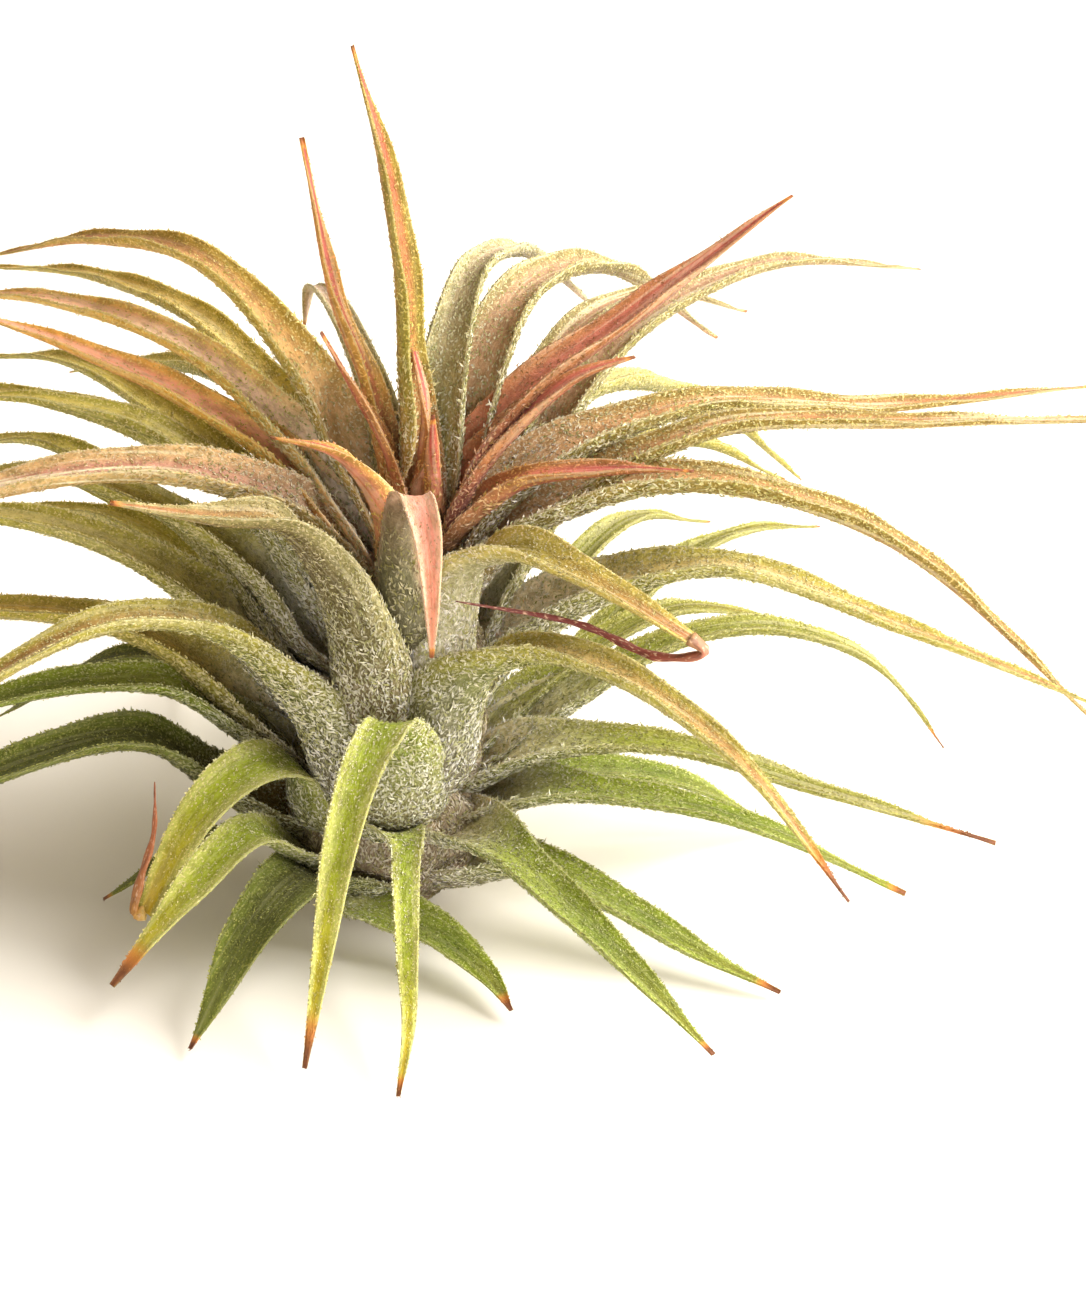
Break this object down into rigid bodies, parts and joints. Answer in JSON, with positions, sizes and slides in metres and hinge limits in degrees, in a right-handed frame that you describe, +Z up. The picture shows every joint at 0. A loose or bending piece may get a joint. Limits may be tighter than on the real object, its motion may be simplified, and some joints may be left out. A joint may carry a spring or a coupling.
{
  "type": "rubra sky plant",
  "caption": "Air plant rosette: narrow felted leaves arch out in a spiral from a short stem, green below, olive gold in the middle and red at the heart.",
  "frame": {"origin": "middle of the flat foot of the stem, on the surface that the plant rests on", "axes": "+Z straight up from the surface, -Y towards the viewer of the picture and +X to the viewer's right"},
  "size_m": [0.1222, 0.0903, 0.0762],
  "materials": {
    "stem": "matt, dry",
    "lower_leaves": "matt green skin under silver felt",
    "middle_leaves": "matt olive gold skin under silver felt",
    "upper_leaves": "matt gold to red skin under silver felt",
    "heart_leaves": "matt red skin"
  },
  "bodies": {
    "root": {"stem": "stem", "lower_leaf_01": "lower_leaves", "lower_leaf_02": "lower_leaves", "lower_leaf_03": "lower_leaves", "lower_leaf_04": "lower_leaves", "lower_leaf_05": "lower_leaves", "lower_leaf_06": "lower_leaves", "lower_leaf_07": "lower_leaves", "lower_leaf_08": "lower_leaves", "lower_leaf_09": "lower_leaves", "lower_leaf_10": "lower_leaves", "lower_leaf_11": "lower_leaves", "lower_leaf_12": "lower_leaves", "lower_leaf_13": "lower_leaves", "lower_leaf_14": "lower_leaves", "lower_leaf_15": "lower_leaves", "lower_leaf_16": "lower_leaves", "lower_leaf_17": "lower_leaves", "lower_leaf_18": "lower_leaves", "back_low_leaves": "lower_leaves", "middle_leaf_01": "middle_leaves", "middle_leaf_02": "middle_leaves", "middle_leaf_03": "middle_leaves", "middle_leaf_04": "middle_leaves", "middle_leaf_05": "middle_leaves", "middle_leaf_06": "middle_leaves", "middle_leaf_07": "middle_leaves", "middle_leaf_08": "middle_leaves", "middle_leaf_09": "middle_leaves", "middle_leaf_10": "middle_leaves", "middle_leaf_11": "middle_leaves", "middle_leaf_12": "middle_leaves", "middle_leaf_13": "middle_leaves", "middle_leaf_14": "middle_leaves", "middle_leaf_15": "middle_leaves", "middle_leaf_16": "middle_leaves", "back_middle_leaves": "middle_leaves", "upper_leaf_01": "upper_leaves", "upper_leaf_02": "upper_leaves", "upper_leaf_03": "upper_leaves", "upper_leaf_04": "upper_leaves", "upper_leaf_05": "upper_leaves", "upper_leaf_06": "upper_leaves", "upper_leaf_07": "upper_leaves", "upper_leaf_08": "upper_leaves", "upper_leaf_09": "upper_leaves", "upper_leaf_10": "upper_leaves", "upper_leaf_11": "upper_leaves", "upper_leaf_12": "upper_leaves", "upper_leaf_13": "upper_leaves", "upper_leaf_14": "upper_leaves", "upper_leaf_15": "upper_leaves", "upper_leaf_16": "upper_leaves", "upper_leaf_17": "upper_leaves", "upper_leaf_18": "upper_leaves", "upper_leaf_19": "upper_leaves", "upper_leaf_20": "upper_leaves", "upper_leaf_21": "upper_leaves", "upper_leaf_22": "upper_leaves", "heart_leaves": "heart_leaves"}
  },
  "joints": []
}
